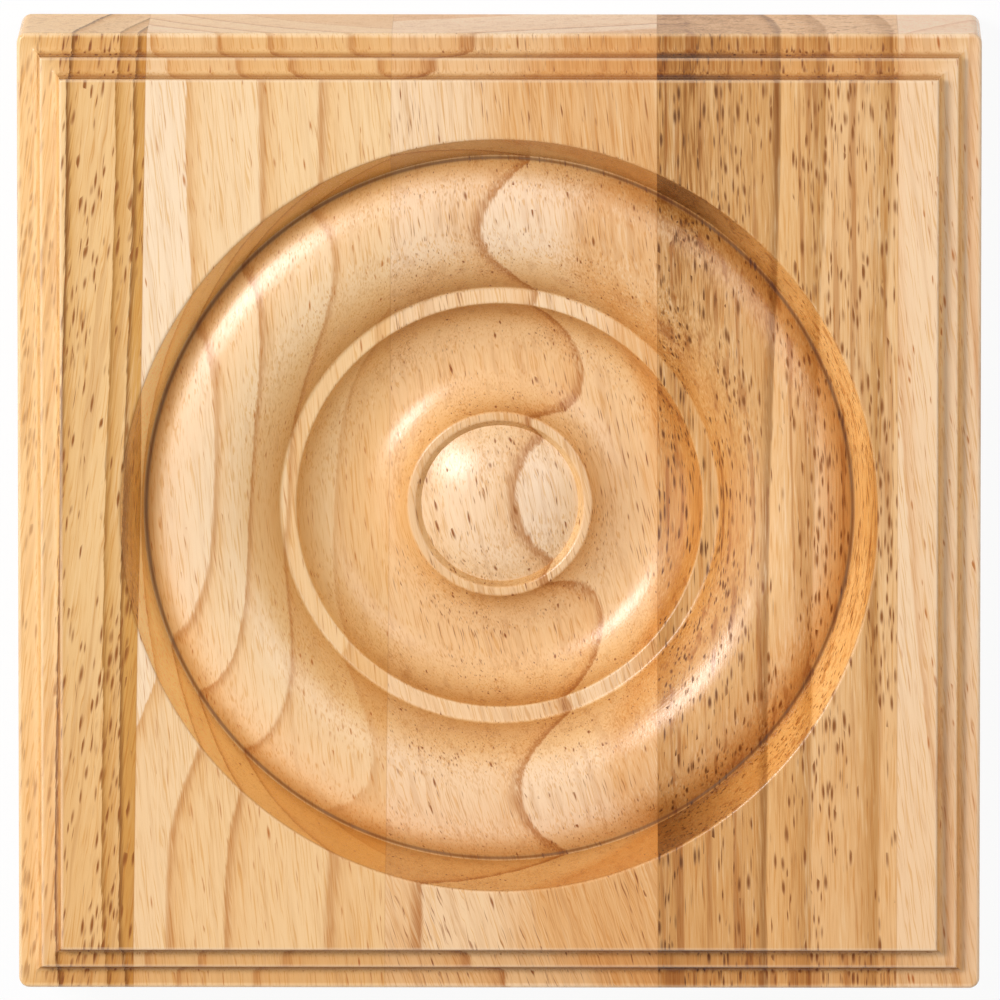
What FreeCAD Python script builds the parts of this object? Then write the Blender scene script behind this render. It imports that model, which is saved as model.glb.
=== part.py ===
# Corner rosette block: a square block of pale hardwood with a two-step moulded
# edge and a turned bullseye rosette sunk into its face.
# Millimetres. The block lies on its back: the origin is the middle of the back
# face, +Z comes out of the carved face and +Y runs along the grain.

import FreeCAD
import Part
import Sketcher

import math
import os

NODE = "rosette_block"

# Driving sizes. Depths are measured down from the flat field of the face, and the
# widths of the rosette's rings are measured along the radius.
SIZES = (
    ("block_side", "101.6", "side of the square block"),
    ("block_thickness", "22.2", "back face to field"),
    ("corner_radius", "1.1", "rounding of the four upright corners"),
    ("edge_ease", "0.35", "easing of the front edge of the outer band"),
    ("outer_step_run", "2.42", "width of the outer band"),
    ("inner_step_run", "2.1", "width of the inner band"),
    ("outer_step_rise", "1.7", "outer band up to inner band"),
    ("inner_step_rise", "2.0", "inner band up to field"),
    ("step_cove_radius", "1.0", "hollow at the foot of each riser"),
    ("step_arris_radius", "0.25", "rounding along the top of each riser"),
    ("field_margin", "6.35", "flat field between the rosette's rim and the steps"),
    ("rim_bevel", "0.3", "bevel round the rosette's rim"),
    ("wall_run", "2.35", "slope of the rosette's outer wall, along the radius"),
    ("wall_depth", "6.5", "foot of the outer wall"),
    ("wall_land", "0.5", "flat at the foot of the outer wall"),
    ("roll_crown", "2.7", "height of the big roll above its springing line"),
    ("quirk_land", "1.6", "flat between the big roll and the cove"),
    ("quirk_depth", "9.15", "depth of that flat"),
    ("cove_width", "11.81", "outer lip to inner lip of the cove"),
    ("cove_sag", "3.06", "depth of the cove below its springing line"),
    ("ring_width", "0.8", "small flat ring round the button"),
    ("ring_depth", "10.2", "depth of the small ring"),
    ("button_radius", "8.3", "centre to the foot of the button"),
    ("button_groove_run", "0.64", "slope from the button's foot up to the ring"),
    ("button_groove_depth", "10.9", "foot of the button"),
    ("button_top_depth", "9.15", "top of the button"),
)

# Names for the numbers that a sketch gives its origin, its upright axis and the
# ends and centre of a stretch.
ORIGIN_POINT = (-1, 1)
UPRIGHT_AXIS = -2
START, FINISH, CENTRE = (1, 2, 3)

OUT_OF_SKETCH = FreeCAD.Vector(0, 0, 1)
SIDES = 4
FULL_TURN = 360
SAME_PLACE = 1e-6


def fill_sheet(document):
    """One row for each driving size: its name, its value under an alias, its meaning."""
    sheet = document.addObject("Spreadsheet::Sheet", "Sizes")
    for row, (name, value, meaning) in enumerate(SIZES, start=1):
        sheet.set(f"A{row}", name)
        sheet.set(f"B{row}", value)
        sheet.set(f"C{row}", meaning)
        sheet.setAlias(f"B{row}", name)
    document.recompute()
    return sheet


def origin_feature(body, role):
    """The body's own plane or axis with the given role."""
    return next(item for item in body.Origin.OriginFeatures if item.Role == role)


def new_sketch(body, name, plane):
    """An empty sketch on one of the body's own planes."""
    sketch = body.newObject("Sketcher::SketchObject", name)
    sketch.AttachmentSupport = (origin_feature(body, plane), [""])
    sketch.MapMode = "FlatFace"
    return sketch


def point(across, up):
    """A point of a sketch."""
    return FreeCAD.Vector(across, up, 0)


def add_line(sketch, start, finish):
    """A straight stretch; gives its two ends in drawing order."""
    line = sketch.addGeometry(Part.LineSegment(start, finish), False)
    return (line, START), (line, FINISH)


def add_bow(sketch, left, right, bulge):
    """An arc whose middle stands off its chord by the bulge, upwards when positive."""
    chord = right - left
    radius = (chord.Length ** 2 / 4 + bulge ** 2) / (2 * abs(bulge))
    upward = point(-chord.y, chord.x).normalize()
    centre = (left + right) / 2 + upward * (bulge - math.copysign(radius, bulge))
    left_angle = math.atan2(left.y - centre.y, left.x - centre.x)
    right_angle = math.atan2(right.y - centre.y, right.x - centre.x)
    circle = Part.Circle(centre, OUT_OF_SKETCH, radius)
    if bulge > 0:
        arc = sketch.addGeometry(Part.ArcOfCircle(circle, right_angle, left_angle), False)
        return (arc, FINISH), (arc, START)
    arc = sketch.addGeometry(Part.ArcOfCircle(circle, left_angle, right_angle), False)
    return (arc, START), (arc, FINISH)


def constrain(sketch, kind, *items):
    """One geometric constraint between ends, stretches or axes."""
    flat = []
    for item in items:
        flat.extend(item if isinstance(item, tuple) else (item,))
    return sketch.addConstraint(Sketcher.Constraint(kind, *flat))


def where(sketch, end):
    """The present place of an end of a stretch."""
    if end == ORIGIN_POINT:
        return point(0, 0)
    return sketch.getPoint(*end)


def dimension(sketch, kind, first, second, name, formula):
    """A distance between two ends, bound to the sheet by the formula."""
    gap = where(sketch, second) - where(sketch, first)
    value = gap.x if kind == "DistanceX" else gap.y
    index = sketch.addConstraint(Sketcher.Constraint(kind, *first, *second, value))
    sketch.renameConstraint(index, name)
    sketch.setExpression(f"Constraints.{name}", formula)


def dimension_radius(sketch, arc, name, formula):
    """A radius bound to the sheet by the formula."""
    value = sketch.Geometry[arc].Radius
    index = sketch.addConstraint(Sketcher.Constraint("Radius", arc, value))
    sketch.renameConstraint(index, name)
    sketch.setExpression(f"Constraints.{name}", formula)


def dimension_bulge(sketch, left_end, right_end, name, formula):
    """The height of an arc over its chord, shown by a chord and a perpendicular."""
    arc = left_end[0]
    left = where(sketch, left_end)
    right = where(sketch, right_end)
    middle = (left + right) / 2
    centre = sketch.Geometry[arc].Center
    outward = (middle - centre).normalize()
    crest = centre + outward * sketch.Geometry[arc].Radius
    chord = sketch.addGeometry(Part.LineSegment(left, right), True)
    rise = sketch.addGeometry(Part.LineSegment(middle, crest), True)
    constrain(sketch, "Coincident", (chord, START), left_end)
    constrain(sketch, "Coincident", (chord, FINISH), right_end)
    constrain(sketch, "Symmetric", (chord, START), (chord, FINISH), (rise, START))
    constrain(sketch, "Perpendicular", chord, rise)
    constrain(sketch, "PointOnObject", (rise, FINISH), arc)
    index = sketch.addConstraint(Sketcher.Constraint("Distance", rise, (crest - middle).Length))
    sketch.renameConstraint(index, name)
    sketch.setExpression(f"Constraints.{name}", formula)


def join_ring(sketch, stretches):
    """Ties the end of each stretch to the start of the next, and the last to the first."""
    for (_, finish), (start, _) in zip(stretches, stretches[1:] + stretches[:1]):
        constrain(sketch, "Coincident", finish, start)


def add_blank(body, sheet):
    """The planed square blank with its upright corners rounded."""
    half = sheet.block_side / 2
    corners = (point(-half, -half), point(half, -half), point(half, half), point(-half, half))
    sketch = new_sketch(body, "blank_outline", "XY_Plane")
    sides = []
    for start, finish in zip(corners, corners[1:] + corners[:1]):
        sides.append(add_line(sketch, start, finish))
    join_ring(sketch, sides)
    for index, (start, _) in enumerate(sides):
        constrain(sketch, "Horizontal" if index % 2 == 0 else "Vertical", start[0])
    constrain(sketch, "Symmetric", sides[0][0], sides[1][1], ORIGIN_POINT)
    dimension(sketch, "DistanceX", *sides[0], "side_across", "Sizes.block_side")
    dimension(sketch, "DistanceY", *sides[1], "side_up", "Sizes.block_side")

    blank = body.newObject("PartDesign::Pad", "blank")
    blank.Profile = sketch
    blank.setExpression("Length", "Sizes.block_thickness")
    body.Document.recompute()
    uprights = [
        f"Edge{number}"
        for number, edge in enumerate(blank.Shape.Edges, start=1)
        if abs(edge.BoundBox.ZLength - sheet.block_thickness) < SAME_PLACE
    ]
    return add_fillet(body, blank, uprights, "rounded_corners", "Sizes.corner_radius")


def add_fillet(body, base, edges, name, formula):
    """A rounding of the named edges of the feature made last."""
    rounding = body.newObject("PartDesign::Fillet", name)
    rounding.Base = (base, edges)
    rounding.setExpression("Radius", formula)
    body.Document.recompute()
    return rounding


def add_stepped_edge(body, sheet):
    """Two risers with hollow feet, moulded along one side and repeated round the block."""
    field = sheet.block_thickness
    inner_band = field - sheet.inner_step_rise
    outer_band = inner_band - sheet.outer_step_rise
    outer_riser = sheet.block_side / 2 - sheet.outer_step_run
    inner_riser = outer_riser - sheet.inner_step_run
    beyond = outer_riser + 2 * sheet.outer_step_run
    above = field + sheet.outer_step_run
    hollow = sheet.step_cove_radius
    arris = sheet.step_arris_radius

    sketch = new_sketch(body, "edge_profile", "XZ_Plane")

    def quarter(across, up, radius, first_angle):
        """A quarter circle about a centre, anticlockwise from its first angle."""
        circle = Part.Circle(point(across, up), OUT_OF_SKETCH, radius)
        arc = Part.ArcOfCircle(circle, first_angle, first_angle + math.pi / 2)
        return sketch.addGeometry(arc, False)

    def riser_with_hollow(across, top, foot):
        """The rounded top, the upright and the hollow foot of one step."""
        top_arc = quarter(across - arris, top - arris, arris, 0)
        upright = add_line(sketch, point(across, top - arris), point(across, foot + hollow))
        foot_arc = quarter(across + hollow, foot + hollow, hollow, math.pi)
        constrain(sketch, "Vertical", upright[0][0])
        constrain(sketch, "Tangent", (top_arc, START), upright[0])
        constrain(sketch, "Tangent", upright[1], (foot_arc, START))
        return top_arc, upright, foot_arc

    upper_arc, upper_riser, upper_foot = riser_with_hollow(inner_riser, field, inner_band)
    inner_tread = add_line(sketch, point(inner_riser + hollow, inner_band),
                           point(outer_riser - arris, inner_band))
    lower_arc, lower_riser, lower_foot = riser_with_hollow(outer_riser, inner_band, outer_band)
    outer_tread = add_line(sketch, point(outer_riser + hollow, outer_band), point(beyond, outer_band))
    outside = add_line(sketch, point(beyond, outer_band), point(beyond, above))
    lid = add_line(sketch, point(beyond, above), point(inner_riser - arris, above))
    return_line = add_line(sketch, point(inner_riser - arris, above), point(inner_riser - arris, field))

    constrain(sketch, "Tangent", (upper_foot, FINISH), inner_tread[0])
    constrain(sketch, "Tangent", inner_tread[1], (lower_arc, FINISH))
    constrain(sketch, "Tangent", (lower_foot, FINISH), outer_tread[0])
    for before, after in ((outer_tread, outside), (outside, lid), (lid, return_line)):
        constrain(sketch, "Coincident", before[1], after[0])
    constrain(sketch, "Coincident", return_line[1], (upper_arc, FINISH))
    constrain(sketch, "Vertical", (upper_arc, CENTRE), (upper_arc, FINISH))
    for level in (inner_tread, outer_tread, lid):
        constrain(sketch, "Horizontal", level[0][0])
    for upright in (outside, return_line):
        constrain(sketch, "Vertical", upright[0][0])
    constrain(sketch, "Equal", upper_arc, lower_arc)
    constrain(sketch, "Equal", upper_foot, lower_foot)

    dimension_radius(sketch, upper_arc, "arris_radius", "Sizes.step_arris_radius")
    dimension_radius(sketch, upper_foot, "hollow_radius", "Sizes.step_cove_radius")
    dimension(sketch, "DistanceX", ORIGIN_POINT, lower_riser[0], "outer_riser",
              "Sizes.block_side / 2 - Sizes.outer_step_run")
    dimension(sketch, "DistanceX", upper_riser[0], lower_riser[0], "inner_run", "Sizes.inner_step_run")
    dimension(sketch, "DistanceY", ORIGIN_POINT, return_line[1], "field_level", "Sizes.block_thickness")
    dimension(sketch, "DistanceY", inner_tread[0], return_line[1], "inner_rise", "Sizes.inner_step_rise")
    dimension(sketch, "DistanceY", outer_tread[0], inner_tread[0], "outer_rise", "Sizes.outer_step_rise")
    dimension(sketch, "DistanceX", lower_riser[0], outside[0], "clear_of_side", "2 * Sizes.outer_step_run")
    dimension(sketch, "DistanceY", return_line[1], return_line[0], "clear_of_field", "Sizes.outer_step_run")

    moulding = body.newObject("PartDesign::Pocket", "moulded_edge")
    moulding.Profile = sketch
    moulding.Type = "ThroughAll"
    moulding.Midplane = True
    body.Document.recompute()
    pattern = body.newObject("PartDesign::PolarPattern", "four_moulded_edges")
    pattern.Originals = [moulding]
    pattern.Axis = (origin_feature(body, "Z_Axis"), [""])
    pattern.Angle = FULL_TURN
    pattern.Occurrences = SIDES
    body.Tip = pattern
    body.Document.recompute()
    return pattern


def add_rosette(body, sheet):
    """The turned rosette: button, ring, cove, flat, big roll and wall, cut by one revolution."""
    field = sheet.block_thickness
    rim = sheet.block_side / 2 - sheet.outer_step_run - sheet.inner_step_run - sheet.field_margin
    wall_foot = rim - sheet.wall_run
    roll_outer = wall_foot - sheet.wall_land
    ring_inner = sheet.button_radius + sheet.button_groove_run
    ring_outer = ring_inner + sheet.ring_width
    cove_outer = ring_outer + sheet.cove_width
    roll_inner = cove_outer + sheet.quirk_land
    above = field + sheet.wall_depth

    def at(radius, depth):
        """A point of the profile at a radius and a depth below the field."""
        return point(radius, field - depth)

    sketch = new_sketch(body, "rosette_profile", "XZ_Plane")
    button_foot = at(sheet.button_radius, sheet.button_groove_depth)
    button_rise = sheet.button_groove_depth - sheet.button_top_depth
    dome_radius = (sheet.button_radius ** 2 + button_rise ** 2) / (2 * button_rise)
    dome_centre = at(0, sheet.button_top_depth + dome_radius)
    dome_circle = Part.Circle(dome_centre, OUT_OF_SKETCH, dome_radius)
    foot_angle = math.atan2(button_foot.y - dome_centre.y, button_foot.x)
    dome_arc = sketch.addGeometry(Part.ArcOfCircle(dome_circle, foot_angle, math.pi / 2), False)
    dome = ((dome_arc, FINISH), (dome_arc, START))

    ring_start = at(ring_inner, sheet.ring_depth)
    cove_start = at(ring_outer, sheet.ring_depth)
    quirk_start = at(cove_outer, sheet.quirk_depth)
    roll_start = at(roll_inner, sheet.quirk_depth)
    roll_finish = at(roll_outer, sheet.wall_depth)
    wall_start = at(wall_foot, sheet.wall_depth)
    groove = add_line(sketch, button_foot, ring_start)
    ring = add_line(sketch, ring_start, cove_start)
    cove = add_bow(sketch, cove_start, quirk_start, -sheet.cove_sag)
    quirk = add_line(sketch, quirk_start, roll_start)
    roll = add_bow(sketch, roll_start, roll_finish, sheet.roll_crown)
    wall_land = add_line(sketch, roll_finish, wall_start)
    wall = add_line(sketch, wall_start, at(rim, 0))
    outside = add_line(sketch, at(rim, 0), point(rim, above))
    lid = add_line(sketch, point(rim, above), point(0, above))
    axle = add_line(sketch, point(0, above), at(0, sheet.button_top_depth))
    rings = [dome, groove, ring, cove, quirk, roll, wall_land, wall]
    join_ring(sketch, rings + [outside, lid, axle])

    rim_end = wall[1]
    constrain(sketch, "PointOnObject", (dome_arc, CENTRE), UPRIGHT_AXIS)
    constrain(sketch, "PointOnObject", dome[0], UPRIGHT_AXIS)
    constrain(sketch, "PointOnObject", axle[0], UPRIGHT_AXIS)
    for level in (ring, quirk, wall_land, lid):
        constrain(sketch, "Horizontal", level[0][0])
    constrain(sketch, "Vertical", outside[0][0])

    dimension(sketch, "DistanceX", ORIGIN_POINT, rim_end, "rim_radius",
              "Sizes.block_side / 2 - Sizes.outer_step_run - Sizes.inner_step_run - Sizes.field_margin")
    dimension(sketch, "DistanceX", wall[0], rim_end, "wall_run", "Sizes.wall_run")
    dimension(sketch, "DistanceX", *wall_land, "wall_land", "Sizes.wall_land")
    dimension(sketch, "DistanceX", *quirk, "quirk_land", "Sizes.quirk_land")
    dimension(sketch, "DistanceX", *cove, "cove_width", "Sizes.cove_width")
    dimension(sketch, "DistanceX", *ring, "ring_width", "Sizes.ring_width")
    dimension(sketch, "DistanceX", *groove, "button_groove_run", "Sizes.button_groove_run")
    dimension(sketch, "DistanceX", ORIGIN_POINT, dome[1], "button_radius", "Sizes.button_radius")
    dimension(sketch, "DistanceY", ORIGIN_POINT, rim_end, "field_level", "Sizes.block_thickness")
    dimension(sketch, "DistanceY", rim_end, outside[1], "clear_of_field", "Sizes.wall_depth")
    dimension(sketch, "DistanceY", wall[0], rim_end, "wall_depth", "Sizes.wall_depth")
    dimension(sketch, "DistanceY", quirk[0], rim_end, "quirk_depth", "Sizes.quirk_depth")
    dimension(sketch, "DistanceY", ring[0], rim_end, "ring_depth", "Sizes.ring_depth")
    dimension(sketch, "DistanceY", dome[1], rim_end, "button_groove_depth", "Sizes.button_groove_depth")
    dimension(sketch, "DistanceY", dome[0], rim_end, "button_top_depth", "Sizes.button_top_depth")
    dimension_bulge(sketch, *roll, "roll_crown", "Sizes.roll_crown")
    dimension_bulge(sketch, *cove, "cove_sag", "Sizes.cove_sag")

    rosette = body.newObject("PartDesign::Groove", "turned_rosette")
    rosette.Profile = sketch
    rosette.ReferenceAxis = (sketch, ["V_Axis"])
    rosette.Angle = FULL_TURN
    body.Document.recompute()
    return rosette


def level_edges(shape, level, keep):
    """Names of the edges that lie at one height and that the test keeps."""
    names = []
    for number, edge in enumerate(shape.Edges, start=1):
        heights = [vertex.Z for vertex in edge.Vertexes]
        if all(abs(height - level) < SAME_PLACE for height in heights) and keep(edge):
            names.append(f"Edge{number}")
    return names


def ease_edges(body, sheet, rosette):
    """A light bevel round the rosette's rim, and the front edge of the outer band rounded by sanding."""
    rim = sheet.block_side / 2 - sheet.outer_step_run - sheet.inner_step_run - sheet.field_margin

    def on_rim(edge):
        return isinstance(edge.Curve, Part.Circle) and abs(edge.Curve.Radius - rim) < SAME_PLACE

    rim_edges = level_edges(rosette.Shape, sheet.block_thickness, on_rim)
    bevelled_rim = body.newObject("PartDesign::Chamfer", "bevelled_rim")
    bevelled_rim.Base = (rosette, rim_edges)
    bevelled_rim.setExpression("Size", "Sizes.rim_bevel")
    body.Document.recompute()

    band = sheet.block_thickness - sheet.inner_step_rise - sheet.outer_step_rise
    inside = sheet.block_side / 2 - sheet.outer_step_run

    def on_outline(edge):
        middle = edge.valueAt((edge.FirstParameter + edge.LastParameter) / 2)
        return max(abs(middle.x), abs(middle.y)) > (inside + sheet.block_side / 2) / 2

    front_edges = level_edges(bevelled_rim.Shape, band, on_outline)
    return add_fillet(body, bevelled_rim, front_edges, "eased_front_edge", "Sizes.edge_ease")


def check(document, body):
    """Stops unless every object is sound and the block is one valid solid."""
    for item in document.Objects:
        if "Invalid" in item.State or "Error" in item.State:
            raise RuntimeError(f"{item.Label} failed: {item.State}")
    for sketch in document.findObjects("Sketcher::SketchObject"):
        if not sketch.FullyConstrained:
            raise RuntimeError(f"{sketch.Label} is not fully constrained")
    if body.Shape.isNull() or not body.Shape.isValid() or len(body.Shape.Solids) != 1:
        raise RuntimeError(f"{body.Label} is not one valid solid")


document = FreeCAD.newDocument("corner_rosette_block")
sheet = fill_sheet(document)
block = document.addObject("PartDesign::Body", "Body")
block.Label = NODE
block.Placement = FreeCAD.Placement()
add_blank(block, sheet)
add_stepped_edge(block, sheet)
rosette = add_rosette(block, sheet)
ease_edges(block, sheet, rosette)
document.recompute()
check(document, block)

os.makedirs("parts", exist_ok=True)
block.Shape.exportStep(f"parts/{block.Label}.step")
print(f"{block.Label}: {len(block.Shape.Faces)} faces, {block.Shape.Volume:.1f} cubic mm")
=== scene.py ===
import math
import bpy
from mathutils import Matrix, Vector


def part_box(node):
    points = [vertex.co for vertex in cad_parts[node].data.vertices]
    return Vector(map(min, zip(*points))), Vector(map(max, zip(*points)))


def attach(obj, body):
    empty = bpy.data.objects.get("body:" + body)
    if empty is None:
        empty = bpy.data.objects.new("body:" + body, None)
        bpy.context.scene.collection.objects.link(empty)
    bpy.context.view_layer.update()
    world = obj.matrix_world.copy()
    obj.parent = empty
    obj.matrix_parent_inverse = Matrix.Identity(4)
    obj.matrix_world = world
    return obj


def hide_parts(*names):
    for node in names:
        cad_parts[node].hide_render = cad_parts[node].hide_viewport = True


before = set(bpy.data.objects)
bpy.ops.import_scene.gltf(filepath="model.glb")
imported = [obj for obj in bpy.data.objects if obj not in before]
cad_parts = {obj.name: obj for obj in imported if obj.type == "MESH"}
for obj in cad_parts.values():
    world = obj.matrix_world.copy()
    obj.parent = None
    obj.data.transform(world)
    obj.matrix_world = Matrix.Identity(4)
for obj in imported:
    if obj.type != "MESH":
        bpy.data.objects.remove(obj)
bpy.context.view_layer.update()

from types import SimpleNamespace

import bpy
import numpy as np
from mathutils import Vector

# The block. One piece of pale, sanded hardwood, planed square from an edge-glued panel of staves.
# A two-step moulding is run round its four edges, and a bullseye rosette is turned into its face.
# Sizes are in millimetres; the outline and the thickness come from the frame.

MM = 0.001
block_low, block_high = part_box("rosette_block")
HALF_SIDE = (block_high.x - block_low.x) / 2 / MM
FIELD_LEVEL = block_high.z / MM

CORNER_RADIUS = 1.1
EDGE_EASE = 0.35
OUTER_STEP_RUN = 2.42
INNER_STEP_RUN = 2.1
OUTER_STEP_RISE = 1.7
INNER_STEP_RISE = 2.0
STEP_COVE_RADIUS = 1.0
STEP_ARRIS_RADIUS = 0.25

FIELD_MARGIN = 6.35
RIM_BEVEL = 0.3
WALL_RUN = 2.35
WALL_DEPTH = 6.5
WALL_LAND = 0.5
ROLL_CROWN = 2.7
QUIRK_LAND = 1.6
QUIRK_DEPTH = 9.15
COVE_WIDTH = 11.81
COVE_SAG = 3.06
RING_WIDTH = 0.8
RING_DEPTH = 10.2
BUTTON_RADIUS = 8.3
BUTTON_GROOVE_RUN = 0.64
BUTTON_GROOVE_DEPTH = 10.9
BUTTON_TOP_DEPTH = 9.15
SANDED_ARRIS = 0.2
FLANK_FILLET = 0.3
SUPPORT = 0.04

FIELD_HALF = HALF_SIDE - OUTER_STEP_RUN - INNER_STEP_RUN
RIM_RADIUS = FIELD_HALF - FIELD_MARGIN
WALL_FOOT = RIM_RADIUS - WALL_RUN
ROLL_OUTER = WALL_FOOT - WALL_LAND
RING_INNER = BUTTON_RADIUS + BUTTON_GROOVE_RUN
RING_OUTER = RING_INNER + RING_WIDTH
COVE_OUTER = RING_OUTER + COVE_WIDTH
ROLL_INNER = COVE_OUTER + QUIRK_LAND

DOME_POINTS = 18
COVE_POINTS = 30
ROLL_POINTS = 42
WALL_POINTS = 6
FLAT_POINTS = 4
SLOPE_POINTS = 3
FILLET_POINTS = 6
BEVEL_POINTS = 5
ARRIS_POINTS = 6
HOLLOW_POINTS = 10
CORNER_POINTS = 9
CORNER_SLACK = 0.1
SHARP_ANGLE = 30


def straight(start, finish, count):
    """Points at even steps from start to finish."""
    return np.linspace(start, finish, count)


def bow(left, right, bulge, count):
    """An arc over a chord: its middle stands off the chord by the bulge, upwards when positive."""
    left = np.asarray(left, float)
    right = np.asarray(right, float)
    chord = right - left
    span = np.hypot(*chord)
    radius = (span ** 2 / 4 + bulge ** 2) / (2 * abs(bulge))
    upward = np.array([-chord[1], chord[0]]) / span
    centre = (left + right) / 2 + upward * (bulge - math.copysign(radius, bulge))
    first = math.atan2(*(left - centre)[::-1])
    last = math.atan2(*(right - centre)[::-1])
    turn = np.linspace(first, last, count)
    return centre + radius * np.column_stack([np.cos(turn), np.sin(turn)])


def quarter(centre, radius, first, last, count):
    """Points of a circle about a centre, from one angle to another in degrees."""
    turn = np.radians(np.linspace(first, last, count))
    return np.asarray(centre) + radius * np.column_stack([np.cos(turn), np.sin(turn)])


def leaving(corner, neighbour):
    """The unit direction from a corner towards its neighbour."""
    return (neighbour - corner) / np.hypot(*(neighbour - corner))


def eased(before, after, reach, count=4):
    """The corner where two runs of points meet, rounded: a parabola between the points
    that lie the reach back along the first run and the reach on along the second."""
    corner = before[-1]
    back = leaving(corner, before[-2])
    on = leaving(corner, after[1])
    t = np.linspace(0, 1, count)[:, None]
    start = corner + back * reach
    finish = corner + on * reach
    rounding = (1 - t) ** 2 * start + 2 * t * (1 - t) * corner + t ** 2 * finish
    return np.vstack([before[:-1], start + back * SUPPORT, rounding, finish + on * SUPPORT, after[1:]])


def tight(before, after):
    """A hard corner between two runs, held by a point just before and just after it."""
    corner = before[-1]
    back = leaving(corner, before[-2])
    on = leaving(corner, after[1])
    return np.vstack([before[:-1], corner + back * SUPPORT, corner, corner + on * SUPPORT, after[1:]])


def rosette_section():
    """Radius and height from the top of the button out to the field: a dome, a slope, a flat ring,
    a hollow arc, a flat, a crowned arc, a narrow flat and a steep wall."""
    def at(radius, depth):
        return np.array([radius, FIELD_LEVEL - depth])

    rise = BUTTON_GROOVE_DEPTH - BUTTON_TOP_DEPTH
    dome_radius = (BUTTON_RADIUS ** 2 + rise ** 2) / (2 * rise)
    dome_edge = math.degrees(math.asin(BUTTON_RADIUS / dome_radius))
    dome_centre = at(0, BUTTON_TOP_DEPTH + dome_radius)
    section = quarter(dome_centre, dome_radius, 90, 90 - dome_edge, DOME_POINTS)
    section = tight(section, straight(section[-1], at(RING_INNER, RING_DEPTH), SLOPE_POINTS))
    section = eased(section, straight(section[-1], at(RING_OUTER, RING_DEPTH), FLAT_POINTS), SANDED_ARRIS)
    cove = bow(section[-1], at(COVE_OUTER, QUIRK_DEPTH), -COVE_SAG, COVE_POINTS)
    section = eased(section, cove, SANDED_ARRIS)
    section = eased(section, straight(section[-1], at(ROLL_INNER, QUIRK_DEPTH), FLAT_POINTS), SANDED_ARRIS)
    roll = bow(section[-1], at(ROLL_OUTER, WALL_DEPTH), ROLL_CROWN, ROLL_POINTS)
    section = eased(section, roll, FLANK_FILLET, FILLET_POINTS)
    section = tight(section, straight(section[-1], at(WALL_FOOT, WALL_DEPTH), SLOPE_POINTS))
    section = tight(section, straight(section[-1], at(RIM_RADIUS, 0), WALL_POINTS))
    field = straight(section[-1], at(RIM_RADIUS + FIELD_MARGIN / 4, 0), 2)
    return eased(section, field, RIM_BEVEL, BEVEL_POINTS)


def step_section():
    """Half width and height from the field out over both steps: each is a rounded arris,
    an upright, a quarter hollow and a flat tread."""
    section = np.empty((0, 2))
    half = FIELD_HALF
    level = FIELD_LEVEL
    for run, rise in ((INNER_STEP_RUN, INNER_STEP_RISE), (OUTER_STEP_RUN, OUTER_STEP_RISE)):
        arris = np.array([half - STEP_ARRIS_RADIUS, level - STEP_ARRIS_RADIUS])
        hollow = np.array([half + STEP_COVE_RADIUS, level - rise + STEP_COVE_RADIUS])
        section = np.vstack([
            section,
            [arris[0] - SUPPORT, level],
            quarter(arris, STEP_ARRIS_RADIUS, 90, 0, ARRIS_POINTS),
            quarter(hollow, STEP_COVE_RADIUS, 180, 270, HOLLOW_POINTS),
            [hollow[0] + SUPPORT, level - rise],
        ])
        half = half + run
        level = level - rise
    return section


def skin_rows():
    """Half width, corner radius and height of each ring of the skin, from the button out over the
    face, down the sides and in under the back. A ring whose corner radius is half its width is a circle."""
    turned = rosette_section()[1:]
    stepped = step_section()
    band = stepped[-1, 1]
    ease = quarter([HALF_SIDE - EDGE_EASE, band - EDGE_EASE], EDGE_EASE, 90, 0, ARRIS_POINTS)
    side_levels = (band - EDGE_EASE - SUPPORT, band / 2, SUPPORT, 0)
    return np.vstack([
        np.column_stack([turned[:, 0], turned[:, 0], turned[:, 1]]),
        np.column_stack([stepped[:, 0], np.zeros(len(stepped)), stepped[:, 1]]),
        [[HALF_SIDE - EDGE_EASE - SUPPORT, CORNER_RADIUS - EDGE_EASE - SUPPORT, band]],
        np.column_stack([ease[:, 0], ease[:, 0] - HALF_SIDE + CORNER_RADIUS, ease[:, 1]]),
        [[HALF_SIDE, CORNER_RADIUS, level] for level in side_levels],
        [[HALF_SIDE - SUPPORT, CORNER_RADIUS - SUPPORT, 0]],
        [[HALF_SIDE / 2, CORNER_RADIUS, 0]],
    ])


def ring_angles():
    """Directions round the axis: one for each degree, and finer ones across the four corners."""
    in_corner = math.degrees(math.asin(CORNER_RADIUS / HALF_SIDE)) / 2 + CORNER_SLACK
    fine = np.linspace(45 - in_corner, 45 + in_corner, CORNER_POINTS)
    corners = [fine + quarter_turn for quarter_turn in (0, 90, 180, 270)]
    angles = np.concatenate([np.arange(360.0), *corners])
    return np.radians(np.unique(angles.round(6)))


def ring_distance(half, corner, cosine, sine):
    """Distance from the axis to a rounded square, along each direction: half the width over the
    larger of cosine and sine on the flats, and the far crossing of the ray with the corner circle."""
    wide = np.maximum(cosine, sine)
    flat = half / wide
    centre = half - corner
    along = centre * (cosine + sine)
    inside = np.maximum(along ** 2 - 2 * centre ** 2 + corner ** 2, 0)
    in_corner = flat * np.minimum(cosine, sine) > centre
    return np.where(in_corner, along + np.sqrt(inside), flat)


def ring_points(distance, angles, heights):
    """A grid of points: each row is a ring at one height, at its distance along every angle."""
    return np.stack([
        distance * np.cos(angles),
        distance * np.sin(angles),
        np.broadcast_to(heights, (len(heights), len(angles))),
    ], axis=-1).reshape(-1, 3)


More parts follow.
